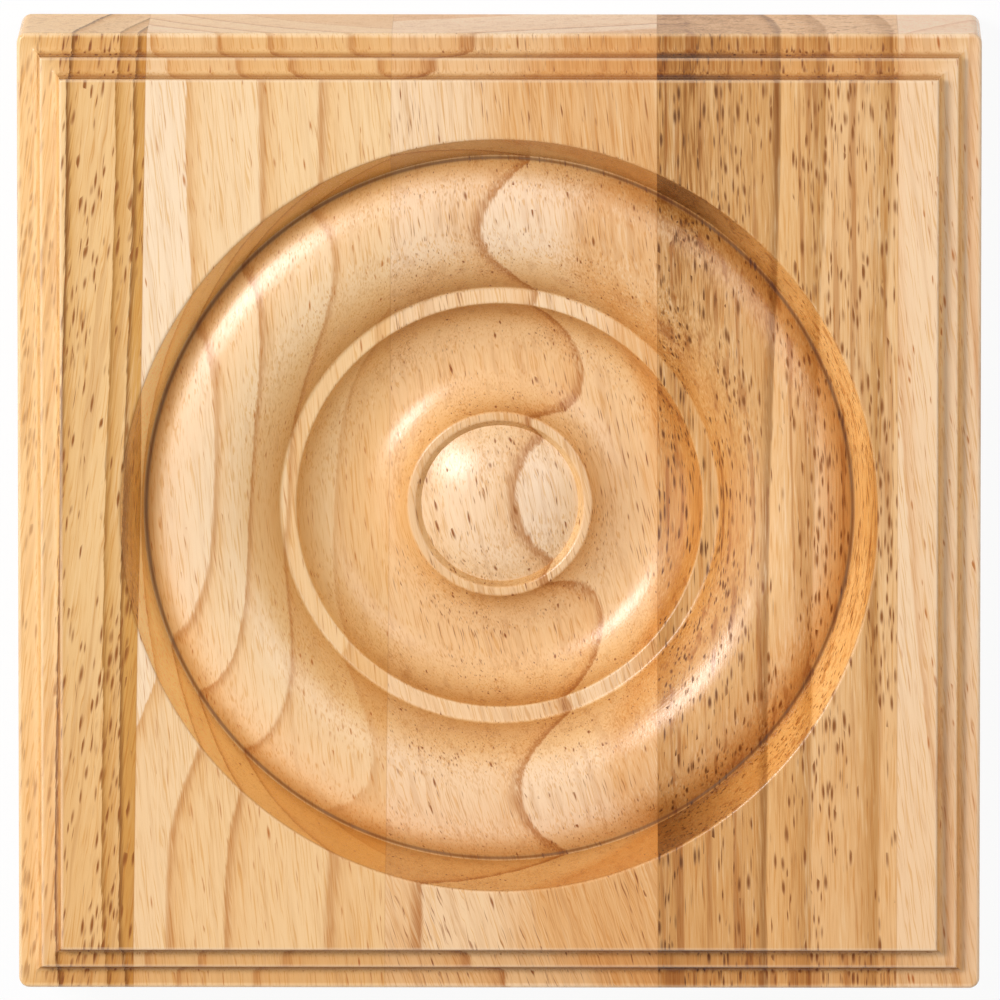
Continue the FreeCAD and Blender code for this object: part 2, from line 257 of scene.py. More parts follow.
def ring_faces(rows, count):
    """Quads between each ring of a grid and the next, closed round the axis."""
    ring = np.arange(count)
    beside = np.roll(ring, -1)
    start = np.arange(rows - 1)[:, None] * count
    quads = np.stack([start + ring, start + count + ring, start + count + beside, start + beside], -1)
    return quads.reshape(-1, 4).tolist()


def block_mesh():
    """One closed skin: rounded-square rings carried over the whole block, with a fan of triangles
    at the top of the button and another in the middle of the back."""
    rows = skin_rows()
    angles = ring_angles()
    distance = ring_distance(rows[:, :1], rows[:, 1:2], np.abs(np.cos(angles)), np.abs(np.sin(angles)))
    grid = ring_points(distance, angles, rows[:, 2:])
    top = [[0, 0, FIELD_LEVEL - BUTTON_TOP_DEPTH]]
    back = [[0, 0, 0]]
    points = np.vstack([grid, top, back]) * MM

    ring = np.arange(len(angles))
    beside = np.roll(ring, -1)
    last = (len(rows) - 1) * len(angles)
    top_point = np.full(len(angles), len(grid))
    top_fan = np.column_stack([top_point, ring, beside])
    back_fan = np.column_stack([last + ring, top_point + 1, last + beside])
    faces = ring_faces(len(rows), len(angles)) + top_fan.tolist() + back_fan.tolist()
    mesh = bpy.data.meshes.new("rosette_block_wood")
    mesh.from_pydata(points.tolist(), [], faces)
    mesh.shade_smooth()
    mesh.set_sharp_from_angle(angle=math.radians(SHARP_ANGLE))
    mesh.validate()
    return mesh


def shade(red, green, blue):
    """A colour as written for a screen, 0 to 255, turned into linear light."""
    screen = np.array([red, green, blue]) / 255
    light = np.where(screen <= 0.04045, screen / 12.92, ((screen + 0.055) / 1.055) ** 2.4)
    return (*light.tolist(), 1)


def feed(tree, socket, value):
    """Give a socket a constant, or link another node's output to it."""
    if isinstance(value, bpy.types.NodeSocket):
        tree.links.new(value, socket)
    else:
        socket.default_value = value


def calc(tree, operation, *terms):
    """The result of a maths node; each term is a number or another output."""
    node = tree.nodes.new("ShaderNodeMath")
    node.operation = operation
    for socket, term in zip(node.inputs, terms):
        feed(tree, socket, term)
    return node.outputs["Value"]


def product(tree, first, *others):
    """All the terms multiplied together."""
    for other in others:
        first = calc(tree, "MULTIPLY", first, other)
    return first


def blend(tree, share, first, second, mode="MIX"):
    """Two colours mixed by a share; each is a colour or another output."""
    node = tree.nodes.new("ShaderNodeMix")
    node.data_type = "RGBA"
    node.blend_type = mode
    feed(tree, node.inputs[0], share)
    feed(tree, node.inputs[6], first)
    feed(tree, node.inputs[7], second)
    return node.outputs[2]


def tinted(tree, colour, share, tint):
    """A colour multiplied by a tint, which has a factor for red, green and blue, where the share is 1."""
    return blend(tree, share, colour, (*tint, 1), "MULTIPLY")


def climb(tree, value, low, high, start=0.0, finish=1.0):
    """A smooth step from start to finish while the value goes from low to high."""
    node = tree.nodes.new("ShaderNodeMapRange")
    node.interpolation_type = "SMOOTHSTEP"
    feed(tree, node.inputs["Value"], value)
    feed(tree, node.inputs["From Min"], low)
    feed(tree, node.inputs["From Max"], high)
    feed(tree, node.inputs["To Min"], start)
    feed(tree, node.inputs["To Max"], finish)
    return node.outputs["Result"]


def fall(tree, value, low, high):
    """A smooth step from 1 down to 0 while the value goes from low to high."""
    return climb(tree, value, low, high, 1.0, 0.0)


def band(tree, value, edges):
    """1 between the two middle edges and 0 outside the outer two, with smooth steps between."""
    return product(tree, climb(tree, value, *edges[:2]), fall(tree, value, *edges[2:]))


def grained(tree, place, across, along):
    """The place counted in grain marks of a width across the grain and a length along it."""
    node = tree.nodes.new("ShaderNodeMapping")
    node.inputs["Scale"].default_value = (1 / across, 1 / along, 1 / across)
    feed(tree, node.inputs["Vector"], place)
    return node.outputs["Vector"]


def cloud(tree, place, mark, detail):
    """Soft noise between 0 and 1, drawn out into marks of a width across the grain and a length along it."""
    node = tree.nodes.new("ShaderNodeTexNoise")
    node.inputs["Scale"].default_value = 1
    node.inputs["Detail"].default_value = detail
    feed(tree, node.inputs["Vector"], grained(tree, place, *mark))
    return node.outputs["Fac"]


def swing(tree, place, mark, detail):
    """The same noise about 0."""
    return calc(tree, "SUBTRACT", cloud(tree, place, mark, detail), 0.5)


# Each stave as it lies between its joints, from left to right: the joint on its right side and how
# far that leans, the place of its pith and how that bends, and its rings outwards. A ring has its
# distance, the strength of its dark line, how pale the wood is just beyond it and the line's width.
# Slant and curl turn its fibres; depth is the strength of its streaks, and bundle that of its dark ones.
# Coarse and fine are the amounts of its pores, coarse_size the size of the coarse ones, pore their colour.
STAVES = (
    dict(joint=-37.9, joint_lean=0.8, pith=(110, 39), bend=(1.3, 0.7),
         rings=((150.6, 0.8, 0.65, 0.14), (152.4, 0.5, 0.8, 0.14), (157.4, 1.0, 0.9, 0.16)),
         early=(248, 207, 150), late=(213, 157, 82), line=(134, 84, 34),
         slant=0.13, curl=0.0, depth=0.75, bundle=0.35,
         coarse=0.8, coarse_size=0.54, fine=0.5, pore=(148, 84, 12)),
    dict(joint=-11.7, joint_lean=0.4, pith=(12.4, -27.1), bend=(4.2, -19.4, 16.6, 13.0, -21.1),
         rings=((47.4, 0.2, 0.7, 0.18), (53.1, 0.5, 0.95, 0.18), (57.8, 0.55, 0.95, 0.18),
                (61.3, 0.5, 1.2, 0.18), (66.3, 0.3, 1.65, 0.18)),
         early=(248, 211, 161), late=(239, 192, 134), line=(186, 118, 56),
         slant=-0.11, curl=0.0, depth=0.85, bundle=0.15,
         coarse=0.08, coarse_size=0.38, fine=0.55, pore=(192, 120, 50)),
    dict(joint=16.7, joint_lean=-0.1, pith=(-111, -214.8), bend=(-5.4, 21.6, 6.1),
         rings=((240.0, 0.0, 1.0, 0.18), (254.0, 0.6, 1.2, 0.18), (258.6, 0.0, -0.2, 0.18)),
         early=(248, 212, 169), late=(236, 186, 131), line=(172, 106, 52),
         slant=-0.21, curl=0.0026, depth=1.2, bundle=0.25,
         coarse=0.16, coarse_size=0.38, fine=0.85, pore=(150, 84, 24)),
    dict(joint=42.0, joint_lean=0.0, pith=(-60, 18), bend=(1.0, 1.0),
         rings=((78.0, 0.05, 0.35, 4.6), (88.4, 0.5, 0.9, 0.6), (93.0, 0.1, 1.1, 0.8),
                (100.0, 0.1, 1.1, 0.8)),
         early=(239, 189, 129), late=(213, 159, 97), line=(132, 84, 38),
         slant=-0.02, curl=0.0, depth=1.1, bundle=0.75,
         coarse=0.95, coarse_size=0.48, fine=0.8, pore=(142, 82, 22)),
    dict(joint=99.0, joint_lean=0.0, pith=(140, 60), bend=(-4.0, 2.0),
         rings=((92.0, 0.3, 0.9, 0.3), (98.0, 0.3, 0.9, 0.3), (104.0, 0.3, 0.9, 0.3)),
         early=(251, 216, 176), late=(244, 199, 152), line=(208, 146, 92),
         slant=-0.14, curl=0.0, depth=0.9, bundle=0.2,
         coarse=0.15, coarse_size=0.38, fine=0.6, pore=(196, 122, 56)),
)
GRAIN_SPAN = 50.0
BEND_END = 0.66
BEND_EASE = 0.2
CREAM = (252, 227, 198)
LATE_WOOD = 1.2
LINE_LEAD = 0.35
LATE_FIRST = 0.25
LATE_LAST = 0.75
LINE_INNER = -0.3
LINE_OUTER = 0.2
LINE_END = 0.5
RAMP_MARGIN = 8
SEAM = (0.02, 0.09)
SEAM_BLUR = 0.05


def wood_places(tree):
    """Where each point of the wood lies, in millimetres: its place, its distance from the axis and its
    reach from the middle lines; how far along the grain it lies, counted in grain spans; and how its
    surface faces: across the grain, upwards and sideways."""
    coordinates = tree.nodes.new("ShaderNodeTexCoord")
    scaled = tree.nodes.new("ShaderNodeMapping")
    scaled.inputs["Scale"].default_value = (1 / MM, 1 / MM, 1 / MM)
    feed(tree, scaled.inputs["Vector"], coordinates.outputs["Object"])
    split = tree.nodes.new("ShaderNodeSeparateXYZ")
    feed(tree, split.inputs[0], scaled.outputs["Vector"])
    facing = tree.nodes.new("ShaderNodeSeparateXYZ")
    feed(tree, facing.inputs[0], coordinates.outputs["Normal"])
    x, y, z = (split.outputs[axis] for axis in "XYZ")
    far_x = calc(tree, "ABSOLUTE", x)
    far_y = calc(tree, "ABSOLUTE", y)
    return SimpleNamespace(
        place=scaled.outputs["Vector"], x=x, y=y, z=z,
        along=calc(tree, "DIVIDE", y, GRAIN_SPAN),
        radius=calc(tree, "SQRT", calc(tree, "MULTIPLY_ADD", x, x, calc(tree, "MULTIPLY", y, y))),
        reach=calc(tree, "MAXIMUM", far_x, far_y),
        past_mitre=calc(tree, "SUBTRACT", far_y, far_x),
        sideways=facing.outputs["X"],
        cross_cut=calc(tree, "ABSOLUTE", facing.outputs["Y"]),
        upward=facing.outputs["Z"],
    )


def add_joints(tree, wood):
    """For each joint, 0 on its left and 1 on its right, and the thin glue lines of all the joints."""
    wood.sides = []
    wood.seams = 0.0
    for stave in STAVES[:-1]:
        joint = calc(tree, "MULTIPLY_ADD", wood.along, stave["joint_lean"], stave["joint"])
        off = calc(tree, "SUBTRACT", wood.x, joint)
        wood.sides.append(climb(tree, off, -SEAM_BLUR, SEAM_BLUR))
        seam = fall(tree, calc(tree, "ABSOLUTE", off), *SEAM)
        wood.seams = calc(tree, "MAXIMUM", wood.seams, seam)


def by_stave(tree, wood, name):
    """The number of that name of the stave that a point lies in."""
    values = [stave[name] for stave in STAVES]
    number = values[0]
    for side, before, after in zip(wood.sides, values, values[1:]):
        number = calc(tree, "MULTIPLY_ADD", side, after - before, number)
    return number


WANDER_MARK = (9.0, 30.0)
WANDER = 0.52
JITTER_MARK = (0.7, 9.0)
RING_JITTER = 0.26
FIBRE_JITTER = 0.6
THIN_MARK = (0.17, 4.0)
RING_FEATHER = 0.5


def add_fibres(tree, wood):
    """The place along the fibres, which lean by slant y + curl y^2 / 2 and jitter a little; thin streaks
    along them; and how far the rings wander, with an edge that is feathered by those streaks."""
    jitter = swing(tree, wood.place, JITTER_MARK, 1.0)
    half_curl = calc(tree, "MULTIPLY", by_stave(tree, wood, "curl"), 0.5)
    slant = calc(tree, "MULTIPLY_ADD", half_curl, wood.y, by_stave(tree, wood, "slant"))
    upright = calc(tree, "SUBTRACT", wood.x, calc(tree, "MULTIPLY", wood.y, slant))
    fibre = tree.nodes.new("ShaderNodeCombineXYZ")
    feed(tree, fibre.inputs["X"], calc(tree, "MULTIPLY_ADD", jitter, FIBRE_JITTER, upright))
    feed(tree, fibre.inputs["Y"], wood.y)
    feed(tree, fibre.inputs["Z"], wood.z)
    wood.fibre = fibre.outputs[0]
    wood.thin = swing(tree, wood.fibre, THIN_MARK, 2.0)
    wander = calc(tree, "MULTIPLY", swing(tree, wood.place, WANDER_MARK, 0.0), WANDER)
    wander = calc(tree, "MULTIPLY_ADD", jitter, RING_JITTER, wander)
    wood.wander = calc(tree, "MULTIPLY_ADD", wood.thin, RING_FEATHER, wander)


def pith_line(tree, along, stave):
    """How far across the pith of a stave lies: pith + b1 s + b2 s^2 and so on, worked out from the
    highest power down, where s counts along the grain."""
    across = stave["bend"][-1]
    for amount in (*reversed(stave["bend"][:-1]), stave["pith"][0]):
        across = calc(tree, "MULTIPLY_ADD", across, along, amount)
    return across


def ring_group():
    """Growth rings of one stave: the distance from its pith, in millimetres.
    distance = hypot(across - pith across, height - pith height) + wander."""
    group = bpy.data.node_groups.new("growth_rings", "ShaderNodeTree")
    for name in ("Across", "Height", "Pith Across", "Pith Height", "Wander"):
        group.interface.new_socket(name, in_out="INPUT", socket_type="NodeSocketFloat")
    group.interface.new_socket("Distance", in_out="OUTPUT", socket_type="NodeSocketFloat")
    given = group.nodes.new("NodeGroupInput").outputs
    across = calc(group, "SUBTRACT", given["Across"], given["Pith Across"])
    height = calc(group, "SUBTRACT", given["Height"], given["Pith Height"])
    squares = calc(group, "MULTIPLY_ADD", across, across, calc(group, "MULTIPLY", height, height))
    distance = calc(group, "ADD", calc(group, "SQRT", squares), given["Wander"])
    result = group.nodes.new("NodeGroupOutput")
    feed(group, result.inputs["Distance"], distance)
    return group


def ring_ramp(tree, distance, stave):
    """Colours outwards from the pith: each ring goes from early to late wood and ends in a thin line."""
    rings = stave["rings"]
    low = rings[0][0] - RAMP_MARGIN
    span = rings[-1][0] + RAMP_MARGIN - low
    node = tree.nodes.new("ShaderNodeValToRGB")
    feed(tree, node.inputs["Fac"], calc(tree, "DIVIDE", calc(tree, "SUBTRACT", distance, low), span))
    early, late, line = (np.array(shade(*stave[name])) for name in ("early", "late", "line"))
    cream = np.array(shade(*CREAM))
    ramp = node.color_ramp
    within = late
    ramp.elements[0].color = late
    for ring, strength, paleness, width in rings:
        dark = late + (line - late) * strength
        pale = late + (early - late) * min(paleness, 1) + (cream - early) * max(paleness - 1, 0)
        stops = (
            (-LATE_WOOD - width, within + (late - within) * LATE_FIRST),
            (-LINE_LEAD - width, within + (late - within) * LATE_LAST),
            (LINE_INNER * width, dark),
            (LINE_OUTER * width, dark),
            (LINE_END * width, pale),
        )
        for reach, colour in stops:
            ramp.elements.new((ring + reach - low) / span).color = colour
        within = pale
    ramp.elements[-1].color = within
    return node.outputs["Color"]


def ring_colours(tree, wood):
    """The rings of every stave, each shown between its own joints. The bends of the piths are eased off
    to a steady value towards both ends of the block."""
    along = calc(tree, "SMOOTH_MIN", wood.along, BEND_END, BEND_EASE)
    along = calc(tree, "SMOOTH_MAX", along, -BEND_END, BEND_EASE)
    group = ring_group()
    colour = None
    for number, stave in enumerate(STAVES):
        figure = tree.nodes.new("ShaderNodeGroup")
        figure.node_tree = group
        feed(tree, figure.inputs["Across"], wood.x)
        feed(tree, figure.inputs["Height"], wood.z)
        feed(tree, figure.inputs["Pith Across"], pith_line(tree, along, stave))
        feed(tree, figure.inputs["Pith Height"], stave["pith"][1])
        feed(tree, figure.inputs["Wander"], wood.wander)
        layers = ring_ramp(tree, figure.outputs["Distance"], stave)
        colour = layers if colour is None else blend(tree, wood.sides[number - 1], colour, layers)
    return colour


BROAD_MARK = (2.2, 40.0)
BROAD_SHARE = 0.47
THIN_SHARE = 0.75
STREAK_REACH = 0.3
DARK_STREAK = 0.8
PALE_STREAK = 0.4
STREAK_TINT = (0.76, 0.62, 0.44)
STREAK_PALE = (253, 224, 182)
HAIR_MARK = (0.13, 6.0)
HAIR_CORE = (0.54, 0.68)
HAIR_STRENGTH = 0.85
HAIR_TINT = (0.88, 0.74, 0.54)
BUNDLE_MARK = (0.8, 34.0)
BUNDLE_CORE = (0.545, 0.71)
BUNDLE_TINT = (0.64, 0.47, 0.32)
HEART_ACROSS = (19.0, 30.0)
HEART_ALONG = (5.0, 32.0)
HEART_STREAK = (-0.1, 0.25)
HEART_LEAST = 0.1
HEART_TINT = (0.58, 0.47, 0.32)


def streaked(tree, wood, colour):
    """Streaks along the fibres, darker and paler, with fine dark hairs and bundles of dark fibres;
    a streaky dark heart beside the joint of the fourth stave, strongest towards its upper end."""
    broad = calc(tree, "MULTIPLY", swing(tree, wood.fibre, BROAD_MARK, 2.0), BROAD_SHARE)
    streak = calc(tree, "MULTIPLY_ADD", wood.thin, THIN_SHARE, broad)
    streak = calc(tree, "MULTIPLY", streak, by_stave(tree, wood, "depth"))
    darker = climb(tree, streak, 0.0, STREAK_REACH, 0.0, DARK_STREAK)
    colour = tinted(tree, colour, darker, STREAK_TINT)
    paler = climb(tree, streak, -STREAK_REACH, 0.0, PALE_STREAK, 0.0)
    colour = blend(tree, paler, colour, shade(*STREAK_PALE))
    hairs = climb(tree, cloud(tree, wood.fibre, HAIR_MARK, 1.0), *HAIR_CORE, 0.0, HAIR_STRENGTH)
    colour = tinted(tree, colour, hairs, HAIR_TINT)
    bundle = climb(tree, cloud(tree, wood.fibre, BUNDLE_MARK, 1.0), *BUNDLE_CORE)
    colour = tinted(tree, colour, product(tree, bundle, by_stave(tree, wood, "bundle")), BUNDLE_TINT)
    wood.by_heart = product(tree, wood.sides[2], fall(tree, wood.x, *HEART_ACROSS))
    upper = climb(tree, wood.y, *HEART_ALONG)
    heart = product(tree, wood.by_heart, upper, climb(tree, streak, *HEART_STREAK, HEART_LEAST))
    return tinted(tree, colour, heart, HEART_TINT)


PATCH_MARK = (4.0, 16.0)
PATCH_CORE = (0.26, 0.71)
PATCH_AMOUNT = (0.12, 1.1)
COARSE_PORE = (0.40, 2.4)
FINE_PORE = (0.23, 4.4)
FINE_SIZE = 0.34
FINE_STRENGTH = 0.75
SMALLEST_PORE = 0.6
PORE_SPREAD = 0.7
PORE_CORE = 0.2
HEART_PORE = (108, 60, 8)
LAYER_SHIFT = 57.31
LEFT_EDGE = (-47.5, -46.0)
LEFT_EDGE_PORES = 0.5
SAWN_LOSS = 0.7
SEAM_STRENGTH = 0.4
SEAM_TINT = (0.72, 0.6, 0.48)


def pores(tree, place, mark, size, amount):
    """Long narrow hollows strewn through the wood: layers of cells stretched along the grain, each
    with a spindle about its own point if its own random number is under the amount. A layer is as
    thick as a cell is wide, and the next one is shifted far along the grain."""
    split = tree.nodes.new("ShaderNodeSeparateXYZ")
    feed(tree, split.inputs[0], grained(tree, place, *mark))
    level = calc(tree, "SUBTRACT", split.outputs["Z"], FIELD_LEVEL / mark[0] - 0.5)
    layer = calc(tree, "FLOOR", level)
    spot = tree.nodes.new("ShaderNodeCombineXYZ")
    feed(tree, spot.inputs["X"], split.outputs["X"])
    feed(tree, spot.inputs["Y"], calc(tree, "MULTIPLY_ADD", layer, LAYER_SHIFT, split.outputs["Y"]))
    cell = tree.nodes.new("ShaderNodeTexVoronoi")
    cell.voronoi_dimensions = "2D"
    cell.inputs["Scale"].default_value = 1
    feed(tree, cell.inputs["Vector"], spot.outputs[0])
    own = tree.nodes.new("ShaderNodeSeparateColor")
    feed(tree, own.inputs[0], cell.outputs["Color"])
    chosen = calc(tree, "LESS_THAN", own.outputs["Red"], amount)
    share = calc(tree, "MULTIPLY_ADD", own.outputs["Green"], PORE_SPREAD, SMALLEST_PORE)
    own_size = calc(tree, "MULTIPLY", size, share)
    above = calc(tree, "SUBTRACT", calc(tree, "SUBTRACT", level, layer), own.outputs["Blue"])
    beside = cell.outputs["Distance"]
    squares = calc(tree, "MULTIPLY_ADD", beside, beside, calc(tree, "MULTIPLY", above, above))
    core = calc(tree, "MULTIPLY", own_size, PORE_CORE)
    return product(tree, fall(tree, calc(tree, "SQRT", squares), core, own_size), chosen)


def pored(tree, wood, colour):
    """Coarse and fine pores in loose patches, each stave with its own amount and colour, weaker on
    the sawn ends; and the glue lines."""
    patchy = climb(tree, cloud(tree, wood.fibre, PATCH_MARK, 0.0), *PATCH_CORE, *PATCH_AMOUNT)
    coarse_amount = product(tree, by_stave(tree, wood, "coarse"), patchy)
    fine_amount = product(tree, by_stave(tree, wood, "fine"), patchy)
    coarse = pores(tree, wood.fibre, COARSE_PORE, by_stave(tree, wood, "coarse_size"), coarse_amount)
    fine = pores(tree, wood.fibre, FINE_PORE, FINE_SIZE, fine_amount)
    pore_colour = shade(*STAVES[0]["pore"])
    for side, stave in zip(wood.sides, STAVES[1:]):
        pore_colour = blend(tree, side, pore_colour, shade(*stave["pore"]))
    pore_colour = blend(tree, wood.by_heart, pore_colour, shade(*HEART_PORE))
    hollow = calc(tree, "MAXIMUM", coarse, calc(tree, "MULTIPLY", fine, FINE_STRENGTH))
    off_left_edge = climb(tree, wood.x, *LEFT_EDGE, LEFT_EDGE_PORES, 1.0)
    off_sawn = calc(tree, "MULTIPLY_ADD", wood.sawn, -SAWN_LOSS, 1.0)
    wood.hollow = product(tree, hollow, off_left_edge, off_sawn)
    colour = blend(tree, wood.hollow, colour, pore_colour)
    return tinted(tree, colour, calc(tree, "MULTIPLY", wood.seams, SEAM_STRENGTH), SEAM_TINT)


FACE_END = (HALF_SIDE - 0.6, HALF_SIDE - 0.4)
SIDE_START = (HALF_SIDE - 0.3, HALF_SIDE - 0.2)
UPRIGHT = (0.02, 0.1)
FACING_ALONG = (0.2, 0.9)


def add_cuts(tree, wood):
    """Where the carved face ends, and the sawn ends of the block, which face along the grain."""
    wood.on_face = fall(tree, wood.reach, *FACE_END)
    at_side = climb(tree, wood.reach, *SIDE_START)
    upright = fall(tree, wood.upward, *UPRIGHT)
    wood.sawn = product(tree, climb(tree, wood.cross_cut, *FACING_ALONG), upright, at_side)


END_GRAIN = (0.42, 0.96)
END_GRAIN_TINT = (0.68, 0.58, 0.46)
HEART_END_TINT = (0.40, 0.34, 0.30)
SLOPE = (0.75, 0.995)
SLOPE_OUTWARDS = (ROLL_OUTER - 6.08, ROLL_OUTER - 2.08)
SLOPE_LEAST = 0.35
SLOPE_SHADE = (0.98, 0.94, 0.83)
DEEP = (0.5, 0.92)
DEEP_SHADE = (0.92, 0.82, 0.64)


def cut_tones(tree, wood, colour):
    """Darker and more golden where the face is carved across the grain; golden painted shade where it
    slopes, partly the deeper colour of fibres cut at a slant, and more painted shade where it slopes
    steeply.
    """
    end_grain = product(tree, climb(tree, wood.cross_cut, *END_GRAIN), wood.on_face)
    colour = tinted(tree, colour, end_grain, END_GRAIN_TINT)
    colour = tinted(tree, colour, product(tree, end_grain, wood.by_heart), HEART_END_TINT)
    # Golden painted shade on sloping faces, weaker towards the wall; partly the deeper colour of slanting
    # cut fibres.
    outwards = climb(tree, wood.radius, *SLOPE_OUTWARDS, 1.0, SLOPE_LEAST)
    sloped = product(tree, fall(tree, wood.upward, *SLOPE), wood.on_face, outwards)
    colour = tinted(tree, colour, sloped, SLOPE_SHADE)
    # More painted shade, deeper and more golden, where the face slopes steeply.
    deep = product(tree, fall(tree, wood.upward, *DEEP), wood.on_face)
    return tinted(tree, colour, deep, DEEP_SHADE)


COVE_BAND = (RING_OUTER - 0.14, RING_OUTER + 0.16, COVE_OUTER - 0.25, COVE_OUTER + 0.05)
COVE_LEAST = 0.2
COVE_SHADE = (0.96, 0.86, 0.72)
FLANK_BAND = (ROLL_INNER - 0.15, ROLL_INNER + 0.15, ROLL_INNER + 1.35, ROLL_INNER + 5.85)
FLANK_SHADE = (0.98, 0.91, 0.80)
RIM_EDGE = (RIM_RADIUS + 0.27, RIM_RADIUS + 0.47)
STEEP = (0.25, 0.65)
WALL_LIGHT = (1.40, 1.50, 1.50)
GOLDEN_WALL_LIGHT = (1.16, 1.12, 0.94)
BEAD_BAND = (RING_INNER - 0.24, RING_INNER - 0.04, RING_OUTER - 0.04, RING_OUTER + 0.16)
BEAD_TINT = (0.95, 0.88, 0.79)
FOLD_ACROSS = (-15.0, 15.0)
FOLD_START = (ROLL_OUTER - 2.08, ROLL_OUTER - 3.88)
FOLD_EDGE = ROLL_OUTER + 0.02
FOLD_END = WALL_FOOT + 0.82
FOLD_SHADE = (0.74, 0.62, 0.42)
CREASE = ROLL_OUTER + 0.22
CREASE_REACH = (0.02, 0.34)
CREASE_SHADE = (0.42, 0.31, 0.19)
CROWN_BAND = (ROLL_INNER + 2.35, ROLL_INNER + 5.35, ROLL_OUTER - 3.08, ROLL_OUTER - 0.58)
BUTTON_CROWN = (BUTTON_RADIUS - 3.3, BUTTON_RADIUS - 0.8)
CROWN_SHEEN = (1.03, 1.07, 1.17)
LOWER_END = (-36.0, -8.0)
LOWER_SHADE = (0.98, 0.92, 0.85)
GREY_SHADE_MARK = (3.0, 3.0)
GREY_SHADE_CORE = (0.41, 0.68)
GREY_SHADE_STRENGTH = 0.3
GREY_SHADE_REACH = (0.04, 0.14)
GREY_SHADE = (150, 128, 100)


def turned_tones(tree, wood, colour):
    """Tones of the turned rings: golden painted shade in the cove and on the inner flank of the roll, a
    warmer bead, painted light on the wall, golden in the second stave, painted shade in a dark fold and
    crease at the foot of the wall with grey patches of it along the crease, a painted sheen on the crowns,
    and painted shade towards the lower end."""
    radius = wood.radius
    # Golden painted shade in the cove, weaker in the two left staves.
    off_left = calc(tree, "MULTIPLY_ADD", wood.sides[1], 1 - COVE_LEAST, COVE_LEAST)
    colour = tinted(tree, colour, product(tree, band(tree, radius, COVE_BAND), off_left), COVE_SHADE)
    # Golden painted shade on the inner flank of the roll.
    colour = tinted(tree, colour, band(tree, radius, FLANK_BAND), FLANK_SHADE)
    # Painted light on the steep wall: lighter than its wood, outweighing the painted shade there, golden in
    # the second stave.
    carved = product(tree, fall(tree, wood.upward, *STEEP), fall(tree, radius, *RIM_EDGE))
    colour = tinted(tree, colour, carved, WALL_LIGHT)
    second_stave = calc(tree, "SUBTRACT", wood.sides[0], wood.sides[1])
    colour = tinted(tree, colour, product(tree, carved, second_stave), GOLDEN_WALL_LIGHT)
    colour = tinted(tree, colour, band(tree, radius, BEAD_BAND), BEAD_TINT)
    # Painted shade in a dark fold at the foot of the wall, reaching further up the roll on the right.
    fold_start = climb(tree, wood.x, *FOLD_ACROSS, *FOLD_START)
    fold = band(tree, radius, (fold_start, FOLD_EDGE, FOLD_EDGE, FOLD_END))
    colour = tinted(tree, colour, fold, FOLD_SHADE)
    # Painted shade in a narrow dark crease at the foot of the wall.
    off_crease = calc(tree, "ABSOLUTE", calc(tree, "SUBTRACT", radius, CREASE))
    colour = tinted(tree, colour, fall(tree, off_crease, *CREASE_REACH), CREASE_SHADE)
    # A painted sheen, paler and bluer, on the crown of the roll and on the button.
    button = fall(tree, radius, *BUTTON_CROWN)
    crown = calc(tree, "MAXIMUM", band(tree, radius, CROWN_BAND), button)
    colour = tinted(tree, colour, crown, CROWN_SHEEN)
    # Painted shade, darker towards the lower end of the block.
    colour = tinted(tree, colour, fall(tree, wood.y, *LOWER_END), LOWER_SHADE)
    # Patchy grey painted shade along the crease.
    grey_shade = climb(tree, cloud(tree, wood.place, GREY_SHADE_MARK, 0.0), *GREY_SHADE_CORE, 0.0, GREY_SHADE_STRENGTH)
    grey_shade = product(tree, grey_shade, fall(tree, off_crease, *GREY_SHADE_REACH))
    return blend(tree, grey_shade, colour, shade(*GREY_SHADE))


STEPS_START = (FIELD_HALF - 0.08, FIELD_HALF + 0.12)
MITRE_BLUR = (-2.0, 2.5)
END_STEP_TINT = (0.88, 0.78, 0.63)
FACING_RIGHT = (0.15, 0.7)
RIGHT_STEP_SHADE = (1.2, 1.09, 0.84)
ARRIS_INSET = 0.12
ARRIS_REACH = (0.08, 0.3)
ARRIS_FACING = (0.1, 0.4)
ARRIS_HIGHLIGHT_STRENGTH = 0.25
ARRIS_HIGHLIGHT = (252, 226, 196)
SAWN_TINT = (1.11, 1.12, 1.22)


def edge_tones(tree, wood, colour):
    """Tones of the moulded edge: darker steps across the grain, golden painted shade on the uprights that
    face right, painted highlights on the arrises and pale sawn ends."""
    steps = product(tree, climb(tree, wood.reach, *STEPS_START), wood.on_face)
    end_steps = product(tree, steps, climb(tree, wood.past_mitre, *MITRE_BLUR))
    colour = tinted(tree, colour, end_steps, END_STEP_TINT)
    # Golden painted shade on the uprights and hollows of the steps that face right.
    right_steps = product(tree, climb(tree, wood.sideways, *FACING_RIGHT), steps)
    colour = tinted(tree, colour, right_steps, RIGHT_STEP_SHADE)
    # Painted highlights along the three arrises of the edge, where they face upwards.
    arris = 0.0
    for edge in (FIELD_HALF, HALF_SIDE - OUTER_STEP_RUN, HALF_SIDE):
        off_edge = calc(tree, "ABSOLUTE", calc(tree, "SUBTRACT", wood.reach, edge - ARRIS_INSET))
        arris = calc(tree, "MAXIMUM", arris, fall(tree, off_edge, *ARRIS_REACH))
    arris = product(tree, arris, climb(tree, wood.upward, *ARRIS_FACING, 0.0, ARRIS_HIGHLIGHT_STRENGTH))
    colour = blend(tree, arris, colour, shade(*ARRIS_HIGHLIGHT))
    return tinted(tree, colour, wood.sawn, SAWN_TINT)


ROUGHNESS = 0.25
THIN_ROUGHNESS = 0.16
OPEN_ROUGHNESS = 0.25
SHEEN_LEVEL = 0.43
RELIEF_STRENGTH = 0.27
RELIEF_DEPTH = 0.05
FIBRE_RELIEF = 0.9
TOOL_FEED = 0.3
TOOL_RELIEF = 0.1
TOOL_END = (RIM_RADIUS - 0.43, RIM_RADIUS - 0.03)
TOOL_ACROSS = (0.1, 0.4)


